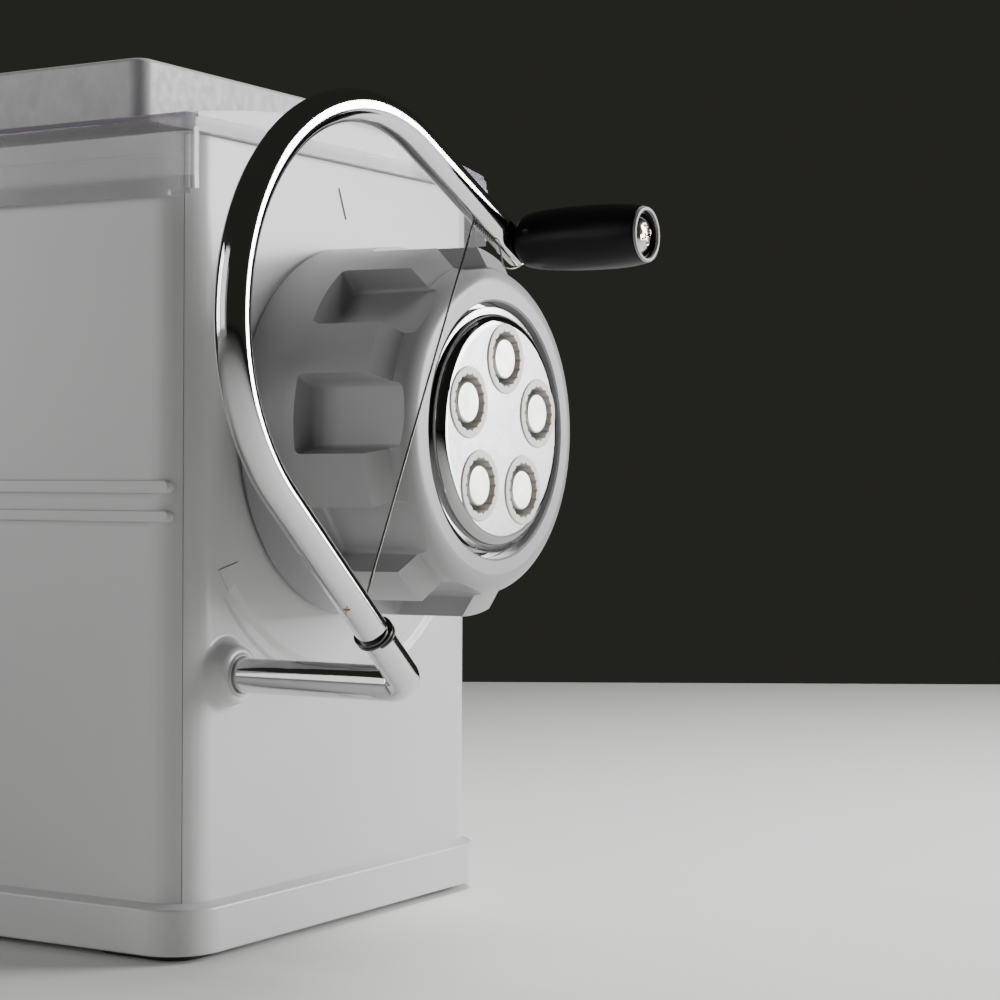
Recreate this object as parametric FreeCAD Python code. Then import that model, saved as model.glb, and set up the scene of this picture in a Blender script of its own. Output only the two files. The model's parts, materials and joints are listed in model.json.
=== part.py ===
import FreeCAD, Part
import math
import os

# Hand-cranked pasta extruder: a moulded housing with an extrusion barrel, a five-hole die held by
# a ring nut, a cranked arm with a cutting wire, a gear train behind the barrel and a clear hopper.
# Frame: millimetres, +Z up, origin at the centre of the plinth's underside, front panel facing -Y.
# The rubber feet reach FOOT_HEIGHT below the origin.

V = FreeCAD.Vector

# ---- driving dimensions ------------------------------------------------------------------------
BODY_WIDTH = 145.0
BODY_DEPTH = 205.0
CORNER_R = 11.0
WALL = 3.0
FOOT_HEIGHT = 2.0
PLINTH_TOP = 13.3
PLINTH_STEP = 3.3
BODY_TOP = 213.0
DECK_Z = 200.0
LID_TOP = 234.8

DIE_Z = 137.4
CRANK_X = -55.2
GEAR_MODULE = 1.5
PINION_TEETH = 15
IDLER_TEETH = 26
AUGER_TEETH = 50
SHAFT_DISTANCE = 85.5

NUT_R = 51.6
NUT_POCKETS = 9
NUT_POCKET_PHASE = 176.1
DIE_HOLES = 5
DIE_PITCH_R = 19.5
DIE_FIRST_ANGLE = 87.0
INSERT_R = 9.6
TUBE_R = 7.4
CORE_R = 5.5

ARM_AHEAD = 57.5
ARM_R = 4.2
AXLE_R = 4.6
BOW_CENTRE = (-75.0, 160.3)
BOW_R = 53.8
KNOB_X = -2.6
KNOB_Z = 188.2
ARM_END_Z = 186.4

FRONT = -BODY_DEPTH / 2
SEAM_SETBACK = CORNER_R * (1 - math.cos(math.radians(45)))
CRANK_Z = DIE_Z - math.sqrt(SHAFT_DISTANCE ** 2 - CRANK_X ** 2)
RUNNING_FIT = 0.06

# depths behind the front panel of the gear train's parts
BARREL_END = 107.0
PLATE_FRONT = (111.0, 114.0)
PLATE_REAR = (143.0, 146.0)
GEAR_FACE = (122.0, 134.0)


# ---- helpers -----------------------------------------------------------------------------------
def ahead(s):
    """Y of a plane that lies s in front of the front panel."""
    return FRONT - s


def behind(b):
    """Y of a plane that lies b behind the front panel."""
    return FRONT + b


def cyl(r, y0, y1, x=0.0, z=DIE_Z):
    """Cylinder along Y between two planes."""
    low, high = min(y0, y1), max(y0, y1)
    return Part.makeCylinder(r, high - low, V(x, low, z), V(0, 1, 0))


def tube(r_out, r_in, y0, y1, x=0.0, z=DIE_Z):
    return cyl(r_out, y0, y1, x, z).cut(cyl(r_in, y0 - 1, y1 + 1, x, z) if y0 < y1
                                        else cyl(r_in, y1 - 1, y0 + 1, x, z))


def post(r, z0, z1, x, y):
    """Vertical cylinder."""
    return Part.makeCylinder(r, z1 - z0, V(x, y, z0))


def box(x0, x1, y0, y1, z0, z1):
    return Part.makeBox(x1 - x0, y1 - y0, z1 - z0, V(x0, y0, z0))


def edges_at(shape, test):
    return [e for e in shape.Edges if test(e)]


def upright(e):
    a, b = e.Vertexes[0].Point, e.Vertexes[-1].Point
    return abs(a.x - b.x) < 1e-6 and abs(a.y - b.y) < 1e-6 and abs(a.z - b.z) > 1e-3


def level_at(z):
    return lambda e: all(abs(v.Point.z - z) < 1e-6 for v in e.Vertexes)


def rounded_box(width, depth, z0, z1, r, cy=0.0):
    """Upright prism with rounded vertical edges, centred on x = 0."""
    block = box(-width / 2, width / 2, cy - depth / 2, cy + depth / 2, z0, z1)
    return block.makeFillet(r, edges_at(block, upright))


def rounded_face(width, depth, z, r):
    """Level face with the outline of a rounded box."""
    block = rounded_box(width, depth, z, z + 1, r)
    return min(block.Faces, key=lambda f: f.CenterOfMass.z)


def turned(profile, x=0.0, z=DIE_Z):
    """Solid of revolution about the Y line through (x, z); the profile is (radius, y) points."""
    points = [V(x + r, y, z) for r, y in profile]
    face = Part.Face(Part.makePolygon(points + points[:1]))
    return face.revolve(V(x, 0, z), V(0, 1, 0), 360)


def around(shape, angle, x=0.0, z=DIE_Z):
    """Copy turned about the Y line through (x, z); positive angles run from +X to +Z."""
    copy = shape.copy()
    copy.rotate(V(x, 0, z), V(0, 1, 0), -angle)
    return copy


def on_circle(r, angle, x=0.0, z=DIE_Z):
    a = math.radians(angle)
    return x + r * math.cos(a), z + r * math.sin(a)


def fused(shapes):
    result = shapes[0]
    for s in shapes[1:]:
        result = result.fuse(s)
    return result.removeSplitter()


def mirrored_pair(shape):
    return [shape, shape.mirror(V(0, 0, 0), V(1, 0, 0))]


def save(name, shape):
    if not shape.isValid():
        print("not valid:", name)
    solids = shape.Solids
    out = solids[0] if len(solids) == 1 else Part.makeCompound(solids)
    out.exportStep("parts/" + name + ".step")


# ---- housing -----------------------------------------------------------------------------------
def housing_skin():
    """Walls of the housing before it is parted into front cover and body shell."""
    outer = rounded_box(BODY_WIDTH, BODY_DEPTH, PLINTH_TOP, BODY_TOP, CORNER_R)
    inner = rounded_box(BODY_WIDTH - 2 * WALL, BODY_DEPTH - 2 * WALL, PLINTH_TOP - 1, BODY_TOP + 1,
                        CORNER_R - WALL)
    return outer.cut(inner)


LUG_X = BODY_WIDTH / 2 - 14.0
LUG_HEIGHTS = (30.0, 190.0)
BOSS_X = BODY_WIDTH / 2 - 7.5
BOSS_Y = 40.0
THROAT_Y = behind(82.0)
THROAT_X_SIZE = 44.0
THROAT_Y_SIZE = 40.0
TOWER_WALL = 3.0
RIB_BANDS = ((119.7, 123.2), (112.2, 115.3))


def side_rib(z0, z1, stand=0.7):
    """Raised rib with round ends on the left wall."""
    r = (z1 - z0) / 2
    x = -BODY_WIDTH / 2
    y0, y1 = behind(5.0 + r), behind(BODY_DEPTH - 5.0 - r)
    bar = box(x - stand, x + 2.5, y0, y1, z0, z1)
    ends = [Part.makeCylinder(r, stand + 2.5, V(x - stand, y, z0 + r), V(1, 0, 0)) for y in (y0, y1)]
    rib = fused([bar] + ends)
    return rib.makeFillet(0.55, edges_at(rib, lambda e: all(abs(v.Point.x - (x - stand)) < 1e-6
                                                            for v in e.Vertexes)))


def rib_channel(z0):
    """Shallow channel along the lower edge of a rib."""
    x = -BODY_WIDTH / 2
    end = BODY_DEPTH / 2 - CORNER_R
    return box(x - 1, x + 0.45, -end, end, z0 - 1.0, z0)


def body_shell():
    part_line = FRONT + SEAM_SETBACK + 0.1
    shell = housing_skin().common(box(-100, 100, part_line, 150, 0, 300))
    deck = rounded_box(BODY_WIDTH - 2 * WALL + 1, BODY_DEPTH - 2 * WALL, DECK_Z, DECK_Z + WALL,
                       CORNER_R - WALL).common(box(-100, 100, behind(7), 150, 0, 300))
    hole_x = THROAT_X_SIZE + 2 * TOWER_WALL + 0.6
    hole_y = THROAT_Y_SIZE + 2 * TOWER_WALL + 0.6
    deck = deck.cut(rounded_box(hole_x, hole_y, DECK_Z - 1, DECK_Z + 9, 4.0, THROAT_Y))
    extras = [deck]
    for z0, z1 in RIB_BANDS:
        extras += mirrored_pair(side_rib(z0, z1))
        for channel in mirrored_pair(rib_channel(z0)):
            shell = shell.cut(channel)
    for z in LUG_HEIGHTS:
        extras += mirrored_pair(box(-70.5, -LUG_X + 4, behind(12), behind(15), z - 5, z + 5))
    for y in (-BOSS_Y, BOSS_Y):
        extras += mirrored_pair(post(5, PLINTH_TOP, 41, -BOSS_X, y))
    shell = fused([shell] + extras)
    for side in (-1, 1):
        for y in (-BOSS_Y, BOSS_Y):
            shell = shell.cut(post(1.95, PLINTH_TOP - 1, 36, side * BOSS_X, y))
        for z in LUG_HEIGHTS:
            shell = shell.cut(cyl(1.7, behind(11), behind(16), side * LUG_X, z))
    return shell


def triangle_mark(angle, tip_r, size):
    """Low raised triangle whose point faces the die axis."""
    half = size * 0.42
    y0, y1 = ahead(MARK_RAISE), behind(1.0)
    tip = V(tip_r, y0, DIE_Z)
    base = [V(tip_r + size, y0, DIE_Z - half), V(tip_r + size, y0, DIE_Z + half)]
    face = Part.Face(Part.makePolygon([tip] + base + [tip]))
    return around(face.extrude(V(0, y1 - y0, 0)), angle)


def arc_groove(r0, r1, start, end, depth=0.8):
    """Shallow groove round the die axis with soft shoulders, from one angle to another."""
    soft = 2.4
    steps = 6
    ramp = [(soft * k / steps, depth * (1 - math.cos(math.pi * k / steps)) / 2) for k in range(steps + 1)]
    low = Part.BSplineCurve()
    low.interpolate([V(r0 + r, behind(d), DIE_Z) for r, d in ramp])
    high = Part.BSplineCurve()
    high.interpolate([V(r1 - r, behind(d), DIE_Z) for r, d in reversed(ramp)])
    corners = [V(r1, behind(0), DIE_Z), V(r1, ahead(0.5), DIE_Z), V(r0, ahead(0.5), DIE_Z),
               V(r0, behind(0), DIE_Z)]
    bottom = Part.makeLine(V(r0 + soft, behind(depth), DIE_Z), V(r1 - soft, behind(depth), DIE_Z))
    sides = [Part.makeLine(a, b) for a, b in zip(corners, corners[1:])]
    face = Part.Face(Part.Wire([low.toShape(), bottom, high.toShape()] + sides))
    face.rotate(V(0, 0, DIE_Z), V(0, 1, 0), -start)
    return face.revolve(V(0, 0, DIE_Z), V(0, 1, 0), -(end - start))


NOSE_R = 39.4
FLANGE_R = 51.0
NOSE_SCREW_R = 46.0
COLLAR_R = 5.75
BOSS_FOOT_R = 9.3
BOSS_RIM_R = 7.4
MARK_RAISE = 0.35


def crank_boss():
    """Rounded boss on the panel round the crank's collar."""
    cone = Part.makeCone(BOSS_FOOT_R, BOSS_RIM_R, 6.8, V(CRANK_X, behind(1.5), CRANK_Z), V(0, -1, 0))
    rim = [e for e in cone.Edges if e.BoundBox.YMax < ahead(5)]
    return cone.makeFillet(1.6, rim)


def boss_foot(e):
    """True for an edge where the crank boss leaves the outside of the panel."""
    b = e.BoundBox
    reach = BOSS_FOOT_R + 1.0
    return (b.XMin > CRANK_X - reach and b.XMax < CRANK_X + reach and b.ZMin > CRANK_Z - reach
            and b.ZMax < CRANK_Z + reach and b.YMin > ahead(0.5) and b.YMax < behind(1.4))


def front_cover():
    part_line = FRONT + SEAM_SETBACK - 0.1
    cover = housing_skin().common(box(-100, 100, -150, part_line, 0, 300))
    ring = tube(FLANGE_R, NOSE_R + 0.2, behind(2.5), behind(6))
    bosses = []
    for z in LUG_HEIGHTS:
        bosses += mirrored_pair(cyl(4.2, behind(2.5), behind(12), -LUG_X, z))
    marks = [triangle_mark(90, 60.2, 8.6), triangle_mark(215.6, 61.5, 8.0)]
    cover = fused([cover, ring, crank_boss()] + bosses + marks)
    cover = cover.makeFillet(2.2, edges_at(cover, boss_foot))
    cover = cover.cut(cyl(NOSE_R + 0.2, ahead(2), behind(9)))
    cover = cover.cut(cyl(COLLAR_R + 0.05, ahead(8), behind(9), CRANK_X, CRANK_Z))
    cover = cover.cut(arc_groove(65.8, 72.6, 219, 321))
    for k in range(4):
        x, z = on_circle(NOSE_SCREW_R, 45 + 90 * k)
        cover = cover.cut(cyl(1.55, behind(1.2), behind(9), x, z))
    for side in (-1, 1):
        for z in LUG_HEIGHTS:
            cover = cover.cut(cyl(1.55, behind(4), behind(14), side * LUG_X, z))
    return cover


FOOT_X = 55.0
FOOT_Y = 84.5
FOOT_SIZE = 31.0


def plinth():
    width, depth = BODY_WIDTH + 2 * PLINTH_STEP, BODY_DEPTH + 2 * PLINTH_STEP
    outer = rounded_box(width, depth, 0, PLINTH_TOP, CORNER_R + PLINTH_STEP)
    slope = [e.OuterWire for e in (rounded_face(width, depth, PLINTH_TOP - 1.2, CORNER_R + PLINTH_STEP),
                                   rounded_face(BODY_WIDTH + 0.4, BODY_DEPTH + 0.4, PLINTH_TOP, CORNER_R))]
    outer = outer.common(box(-100, 100, -150, 150, 0, PLINTH_TOP - 1.2))
    outer = fused([outer, Part.makeLoft(slope, True)])
    outer = outer.makeFillet(0.7, edges_at(outer, level_at(PLINTH_TOP - 1.2)))
    outer = outer.makeFillet(0.8, edges_at(outer, level_at(0)))
    inner = rounded_box(width - 19, depth - 19, WALL, PLINTH_TOP + 1, 5.0)
    tray = outer.cut(inner)
    columns = []
    for y in (-BOSS_Y, BOSS_Y):
        columns += mirrored_pair(post(5, WALL - 1, PLINTH_TOP, -BOSS_X, y))
    tray = fused([tray] + columns)
    for side in (-1, 1):
        for y in (-BOSS_Y, BOSS_Y):
            tray = tray.cut(post(2.1, -1, 20, side * BOSS_X, y))
            tray = tray.cut(post(3.8, -1, WALL, side * BOSS_X, y))
        for y in (-FOOT_Y, FOOT_Y):
            tray = tray.cut(post(3.0, -1, WALL + 1, side * FOOT_X, y))
    return tray


def foot(x, y):
    pad = rounded_box(FOOT_SIZE, FOOT_SIZE, -FOOT_HEIGHT, 0, 8.0)
    pad = pad.makeFillet(0.5, edges_at(pad, level_at(-FOOT_HEIGHT)))
    pad.translate(V(x, y, 0))
    stem = post(2.95, -1, WALL, x, y)
    barb = Part.makeCone(4.2, 2.2, 3.0, V(x, y, WALL))
    return fused([pad, stem, barb])


def screw_y(x, z, y_head, y_tip, r, head_r, head_h):
    """Pan-head screw along Y; the head stands behind y_head and the shank runs to y_tip."""
    head = cyl(head_r, y_head, y_head + head_h, x, z)
    slot = box(x - head_r, x + head_r, y_head + head_h - 0.9, y_head + head_h + 1, z - 0.5, z + 0.5)
    return fused([head, cyl(r, y_tip, y_head + 0.5, x, z)]).cut(slot)


def base_screws():
    screws = []
    for side in (-1, 1):
        for y in (-BOSS_Y, BOSS_Y):
            x = side * BOSS_X
            head = post(3.5, WALL - 2.2, WALL, x, y)
            slot = box(x - 4, x + 4, y - 0.5, y + 0.5, -1, WALL - 1.3)
            screws.append(fused([head, post(1.9, WALL - 1, 32, x, y)]).cut(slot))
    return Part.makeCompound(screws)


def cover_screws():
    return Part.makeCompound([screw_y(side * LUG_X, z, behind(15), behind(5), 1.5, 3.0, 2.0)
                              for side in (-1, 1) for z in LUG_HEIGHTS])


def nose_screws():
    places = [on_circle(NOSE_SCREW_R, 45 + 90 * k) for k in range(4)]
    return Part.makeCompound([screw_y(x, z, behind(11), behind(2), 1.5, 3.2, 2.2) for x, z in places])


# ---- barrel, die and ring nut ------------------------------------------------------------------
BORE_R = 23.2
NOSE_END = 42.7
SEAL_T = 0.8
DIE_BACK = NOSE_END + SEAL_T
DIE_FACE = 52.2


def barrel():
    outer = turned([(0, ahead(NOSE_END)), (NOSE_R, ahead(NOSE_END)), (NOSE_R, behind(6)),
                    (FLANGE_R, behind(6)), (FLANGE_R, behind(11)), (34, behind(11)), (27, behind(22)),
                    (27, behind(BARREL_END - 4)), (36, behind(BARREL_END)), (36, behind(111)),
                    (0, behind(111))])
    side_x, side_y = THROAT_X_SIZE + 2 * TOWER_WALL, THROAT_Y_SIZE + 2 * TOWER_WALL
    tower = rounded_box(side_x, side_y, DIE_Z, DECK_Z + WALL, 4.0, THROAT_Y)
    shape = fused([outer, tower])
    bore = turned([(0, ahead(NOSE_END + 1)), (31, ahead(NOSE_END + 1)), (31, ahead(36)), (BORE_R, ahead(14)),
                   (BORE_R, behind(103)), (0, behind(103))])
    chute = rounded_box(THROAT_X_SIZE, THROAT_Y_SIZE, DIE_Z, DECK_Z + 9, 2.5, THROAT_Y)
    shape = shape.cut(bore).cut(chute)
    shape = shape.cut(cyl(AUGER_SHAFT_R + RUNNING_FIT, behind(100), behind(115)))
    for k in range(4):
        x, z = on_circle(NOSE_SCREW_R, 45 + 90 * k)
        shape = shape.cut(cyl(1.6, behind(5), behind(12), x, z))
        x, z = on_circle(31.0, 45 + 90 * k)
        shape = shape.cut(cyl(1.55, behind(104), behind(112), x, z))
    return shape


def die_seal():
    return tube(38.0, 31.6, ahead(NOSE_END), ahead(DIE_BACK))


def die_plate():
    face_r, edge_r, flange_r = 28.8, 31.8, 33.5
    flat = cyl(38.2, ahead(DIE_BACK), ahead(46.0))
    step = cyl(flange_r, ahead(45.9), ahead(DIE_FACE - 2.9))
    crown = cyl(edge_r, ahead(DIE_FACE - 3.0), ahead(DIE_FACE))
    rim = [e for e in crown.Edges if abs(e.BoundBox.YMin - ahead(DIE_FACE)) < 1e-6
           and abs(e.BoundBox.YMax - ahead(DIE_FACE)) < 1e-6]
    crown = crown.makeFillet(edge_r - face_r - 0.1, rim)
    plate = fused([flat, step, crown])
    for k in range(DIE_HOLES):
        x, z = on_circle(DIE_PITCH_R, DIE_FIRST_ANGLE + 72 * k)
        plate = plate.cut(cyl(INSERT_R + 0.03, ahead(40), ahead(60), x, z))
    return plate


def die_insert(x, z):
    """Plastic sleeve in the die; shallow flutes in its mouth raise the ridges on the pasta."""
    sleeve = cyl(INSERT_R, ahead(DIE_BACK), ahead(DIE_FACE + 0.4), x, z)
    lip = [e for e in sleeve.Edges if abs(e.BoundBox.YMin - ahead(DIE_FACE + 0.4)) < 1e-6
           and abs(e.BoundBox.YMax - ahead(DIE_FACE + 0.4)) < 1e-6]
    sleeve = sleeve.makeFillet(0.35, lip)
    cutters = [cyl(TUBE_R, ahead(40), ahead(60), x, z), cyl(8.6, ahead(DIE_BACK - 1), ahead(46), x, z)]
    for k in range(18):
        gx, gz = on_circle(TUBE_R, 20 * k, x, z)
        cutters.append(cyl(0.45, ahead(40), ahead(60), gx, gz))
    return sleeve.cut(fused(cutters))


def core_pin(x, z):
    """Pin that forms the hollow of the pasta, on a three-armed bridge let into the sleeve."""
    pin = cyl(CORE_R, ahead(DIE_BACK), ahead(DIE_FACE), x, z)
    tip = [e for e in pin.Edges if abs(e.BoundBox.YMin - ahead(DIE_FACE)) < 1e-6
           and abs(e.BoundBox.YMax - ahead(DIE_FACE)) < 1e-6]
    pin = pin.makeFillet(0.5, tip)
    arm = box(x, x + 8.3, ahead(45.9), ahead(DIE_BACK), z - 1.1, z + 1.1)
    arms = [around(arm, 30 + 120 * k, x, z) for k in range(3)]
    ring = tube(8.55, 7.5, ahead(45.9), ahead(DIE_BACK), x, z)
    return fused([pin, ring] + arms)


def ring_nut():
    """Ring nut: a deep skirt with nine grip pockets, a rounded nose and an inner lip over the die."""
    nose_round = 7.0
    flat_y = ahead(50.5)
    hub_r = 45.2
    body = turned([(39.75, ahead(0.8)), (50.8, ahead(0.8)), (NUT_R, ahead(2.0)), (51.2, ahead(40.5)),
                   (hub_r, ahead(44.6)), (hub_r, flat_y), (35.2, flat_y), (35.2, ahead(46.3)),
                   (39.75, ahead(46.3))])
    nose = [e for e in body.Edges if e.BoundBox.YMax < flat_y + 1e-6 and e.BoundBox.XMax > hub_r - 0.1]
    body = body.makeFillet(nose_round - 1.2, nose)
    lip = [e for e in body.Edges if e.BoundBox.YMax < flat_y + 1e-6 and abs(e.BoundBox.XMax - 35.2) < 0.1]
    body = body.makeChamfer(0.5, lip)
    floor_r, out_r = 43.9, 56.0
    back_low, back_high = 20.4, 17.9
    floor_half, mouth_half = 8.6, 12.4
    corners = []
    for r, half, back in ((floor_r, floor_half, back_low), (out_r, mouth_half, back_high)):
        corners.append([V(r, ahead(back), DIE_Z - half), V(r, ahead(back), DIE_Z + half),
                        V(r, ahead(60), DIE_Z + half), V(r, ahead(60), DIE_Z - half)])
    wires = [Part.makePolygon(c + c[:1]) for c in corners]
    pocket = Part.makeLoft(wires, True, True)
    inner = [e for e in pocket.Edges if abs(e.BoundBox.XMax - floor_r) < 1e-6
             or (upright_in_pocket(e, floor_r, out_r) and e.BoundBox.YMax > ahead(30))]
    pocket = pocket.makeFillet(1.6, inner)
    for k in range(NUT_POCKETS):
        body = body.cut(around(pocket, NUT_POCKET_PHASE + 360 / NUT_POCKETS * k))
    return body


def upright_in_pocket(e, low, high):
    return e.BoundBox.XMin < low + 0.1 and e.BoundBox.XMax > high - 0.1


# ---- gear train --------------------------------------------------------------------------------
CRANK_SHAFT_R = 6.5
AUGER_SHAFT_R = 6.0
IDLER_PIN_R = 4.0
PRESSURE = math.radians(20)


def involute(base_r, r):
    """Polar angle of the involute of a circle at radius r."""
    t = math.sqrt(max((r / base_r) ** 2 - 1, 0))
    return t - math.atan(t)


def gear(teeth, x, z, phase, hub_r, hub, bore_r):
    """Spur gear about the Y line through (x, z); phase turns one tooth to that angle."""
    pitch_r = GEAR_MODULE * teeth / 2
    tip_r = pitch_r + 0.85 * GEAR_MODULE
    root_r = pitch_r - 1.15 * GEAR_MODULE
    base_r = pitch_r * math.cos(PRESSURE)
    half = math.pi / (2 * teeth) - 0.11 / pitch_r
    start = max(base_r, root_r)
    points = []
    for k in range(teeth):
        centre = math.radians(phase) + 2 * math.pi * k / teeth
        flank = []
        for i in range(4):
            r = start + (tip_r - start) * i / 3
            flank.append((r, half + involute(base_r, pitch_r) - involute(base_r, r)))
        gap = 2 * math.pi / teeth - 2 * flank[0][1]
        points.append((root_r, centre - flank[0][1] - gap * 0.12))
        points += [(r, centre - a) for r, a in flank]
        points += [(r, centre + a) for r, a in reversed(flank)]
        points.append((root_r, centre + flank[0][1] + gap * 0.12))
    y0, y1 = behind(GEAR_FACE[0]), behind(GEAR_FACE[1])
    outline = [V(x + r * math.cos(a), y0, z + r * math.sin(a)) for r, a in points]
    wheel = Part.Face(Part.makePolygon(outline + outline[:1])).extrude(V(0, y1 - y0, 0))
    wheel = fused([wheel, cyl(hub_r, behind(hub[0]), behind(hub[1]), x, z)])
    return wheel.cut(cyl(bore_r, behind(100), behind(160), x, z))


def idler_place():
    """Centre of the idler, in mesh with both the pinion and the auger gear."""
    near = GEAR_MODULE * (PINION_TEETH + IDLER_TEETH) / 2
    far = GEAR_MODULE * (AUGER_TEETH + IDLER_TEETH) / 2
    along = (near ** 2 - far ** 2 + SHAFT_DISTANCE ** 2) / (2 * SHAFT_DISTANCE)
    side = math.sqrt(near ** 2 - along ** 2)
    ux, uz = -CRANK_X / SHAFT_DISTANCE, (DIE_Z - CRANK_Z) / SHAFT_DISTANCE
    return CRANK_X + along * ux + side * uz, CRANK_Z + along * uz - side * ux


IDLER_X, IDLER_Z = idler_place()


def bearing(a, b):
    """Direction from point a to point b, in degrees."""
    return math.degrees(math.atan2(b[1] - a[1], b[0] - a[0]))


def mesh_phase(teeth, towards, partner_teeth, partner_phase, from_partner):
    """Phase that puts a tooth gap of this gear on a tooth of its partner along their line."""
    off = (partner_phase - from_partner) / (360 / partner_teeth)
    return towards + (180 / teeth) - off * 360 / teeth


def gear_phases():
    crank, idler, auger = (CRANK_X, CRANK_Z), (IDLER_X, IDLER_Z), (0.0, DIE_Z)
    pinion = bearing(crank, idler)
    middle = mesh_phase(IDLER_TEETH, bearing(idler, crank), PINION_TEETH, pinion, bearing(crank, idler))
    last = mesh_phase(AUGER_TEETH, bearing(auger, idler), IDLER_TEETH, middle, bearing(idler, auger))
    return pinion, middle, last


PIN_DEPTH = 138.0


def cross_pin(x, z, length, r=1.25):
    return Part.makeCylinder(r, length, V(x - length / 2, behind(PIN_DEPTH), z), V(1, 0, 0))


def crank_pinion(phase):
    wheel = gear(PINION_TEETH, CRANK_X, CRANK_Z, phase, 9.3, (114.6, 142.4), CRANK_SHAFT_R)
    return wheel.cut(cross_pin(CRANK_X, CRANK_Z, 30, 1.27))


def idler_gear(phase):
    wheel = gear(IDLER_TEETH, IDLER_X, IDLER_Z, phase, 8.0, (114.6, 142.4), IDLER_PIN_R + RUNNING_FIT)
    return wheel


def auger_gear(phase):
    wheel = gear(AUGER_TEETH, 0, DIE_Z, phase, 11.0, (114.6, 142.4), AUGER_SHAFT_R)
    for y0, y1 in ((GEAR_FACE[0] - 1, GEAR_FACE[0] + 4), (GEAR_FACE[1] - 4, GEAR_FACE[1] + 1)):
        wheel = wheel.cut(tube(33.0, 14.0, behind(y0), behind(y1)))
    for k in range(6):
        x, z = on_circle(23.5, 60 * k)
        wheel = wheel.cut(cyl(5.0, behind(120), behind(136), x, z))
    return wheel.cut(cross_pin(0, DIE_Z, 30, 1.27))


def hexagon(across, y0, y1, x, z):
    points = [on_circle(across / math.sqrt(3), 60 * k, x, z) for k in range(7)]
    return Part.Face(Part.makePolygon([V(a, y0, b) for a, b in points])).extrude(V(0, y1 - y0, 0))


def clip_groove(x, z, r):
    return tube(r + 3, r - 0.9, behind(148.6), behind(149.8), x, z)


def retaining_clip(x, z, r):
    ring = tube(r + 2.6, r - 0.9, behind(148.7), behind(149.7), x, z)
    return ring.cut(box(x - 1.6, x + 1.6, behind(140), behind(160), z - 20, z))


def crank_shaft():
    shaft = cyl(CRANK_SHAFT_R, behind(9), behind(152), CRANK_X, CRANK_Z)
    shaft = shaft.cut(hexagon(8.0, behind(8), behind(31), CRANK_X, CRANK_Z))
    shaft = shaft.cut(clip_groove(CRANK_X, CRANK_Z, CRANK_SHAFT_R))
    return shaft.cut(cross_pin(CRANK_X, CRANK_Z, 30, 1.27))


def auger_shaft():
    square = box(-4.2, 4.2, behind(80), behind(99), DIE_Z - 4.2, DIE_Z + 4.2)
    shaft = fused([square, cyl(AUGER_SHAFT_R, behind(98.5), behind(152))])
    shaft = shaft.cut(clip_groove(0, DIE_Z, AUGER_SHAFT_R))
    return shaft.cut(cross_pin(0, DIE_Z, 30, 1.27))


def auger():
    """Feed screw with one helical flight that carries the dough forward to the die."""
    y0, y1 = behind(97), ahead(30)
    core_r, flight_r, pitch = 9.5, BORE_R - 0.3, 24.0
    length = y0 - y1 - 4
    helix = Part.makeHelix(pitch, length, flight_r)
    profile = Part.makePolygon([V(core_r - 1, 0, -2.6), V(flight_r, 0, -1.4), V(flight_r, 0, 1.4),
                                V(core_r - 1, 0, 2.6), V(core_r - 1, 0, -2.6)])
    flight = Part.Wire(helix.Edges).makePipeShell([profile], True, True)
    flight.rotate(V(0, 0, 0), V(1, 0, 0), 90)
    flight.translate(V(0, y0, DIE_Z))
    nose = turned([(0, ahead(38)), (3, ahead(37)), (core_r, ahead(28)), (core_r, behind(90)),
                   (flight_r, behind(96.5)), (flight_r, behind(100)), (0, behind(100))])
    keep = cyl(flight_r, ahead(40), behind(100))
    screw = nose.fuse(flight.common(keep))
    socket = box(-4.25, 4.25, behind(79), behind(102), DIE_Z - 4.25, DIE_Z + 4.25)
    return screw.cut(socket).cut(cyl(AUGER_SHAFT_R + 0.05, behind(98.4), behind(101)))


def gearbox_plate(depths, holes):
    low_x, high_x, low_z, high_z = -68.0, 44.0, 56.0, 182.0
    y0, y1 = behind(depths[0]), behind(depths[1])
    plate = box(low_x, high_x, y0, y1, low_z, high_z)
    corner = [e for e in plate.Edges if e.BoundBox.YLength > 2.9]
    plate = plate.makeFillet(8.0, corner)
    relief = box(5, 50, y0 - 1, y1 + 1, 46, 92)
    plate = plate.cut(relief)
    for r, x, z in holes:
        plate = plate.cut(cyl(r, y0 - 1, y1 + 1, x, z))
    return plate


PILLARS = ((-60.0, 174.0), (36.0, 174.0), (-2.0, 64.0), (36.0, 100.0))
BUSH_R = 9.0


def gearbox_front_plate():
    holes = [(BUSH_R, CRANK_X, CRANK_Z), (BUSH_R, 0, DIE_Z), (IDLER_PIN_R, IDLER_X, IDLER_Z)]
    holes += [(1.6,) + p for p in PILLARS]
    holes += [(1.6,) + on_circle(31.0, 45 + 90 * k) for k in range(4)]
    return gearbox_plate(PLATE_FRONT, holes)


def gearbox_rear_plate():
    holes = [(BUSH_R, CRANK_X, CRANK_Z), (BUSH_R, 0, DIE_Z), (IDLER_PIN_R, IDLER_X, IDLER_Z)]
    holes += [(1.6,) + p for p in PILLARS]
    return gearbox_plate(PLATE_REAR, holes)


def gearbox_pillars():
    return Part.makeCompound([tube(4.5, 1.6, behind(PLATE_FRONT[1]), behind(PLATE_REAR[0]), x, z)
                              for x, z in PILLARS])


def gearbox_screws():
    long_ones = [screw_y(x, z, behind(PLATE_REAR[1]), behind(PLATE_FRONT[0] - 3), 1.5, 3.2, 2.0)
                 for x, z in PILLARS]
    short = [screw_y(x, z, behind(PLATE_FRONT[1]), behind(105), 1.5, 3.2, 2.0)
             for x, z in [on_circle(31.0, 45 + 90 * k) for k in range(4)]]
    return Part.makeCompound(long_ones + short)


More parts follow.
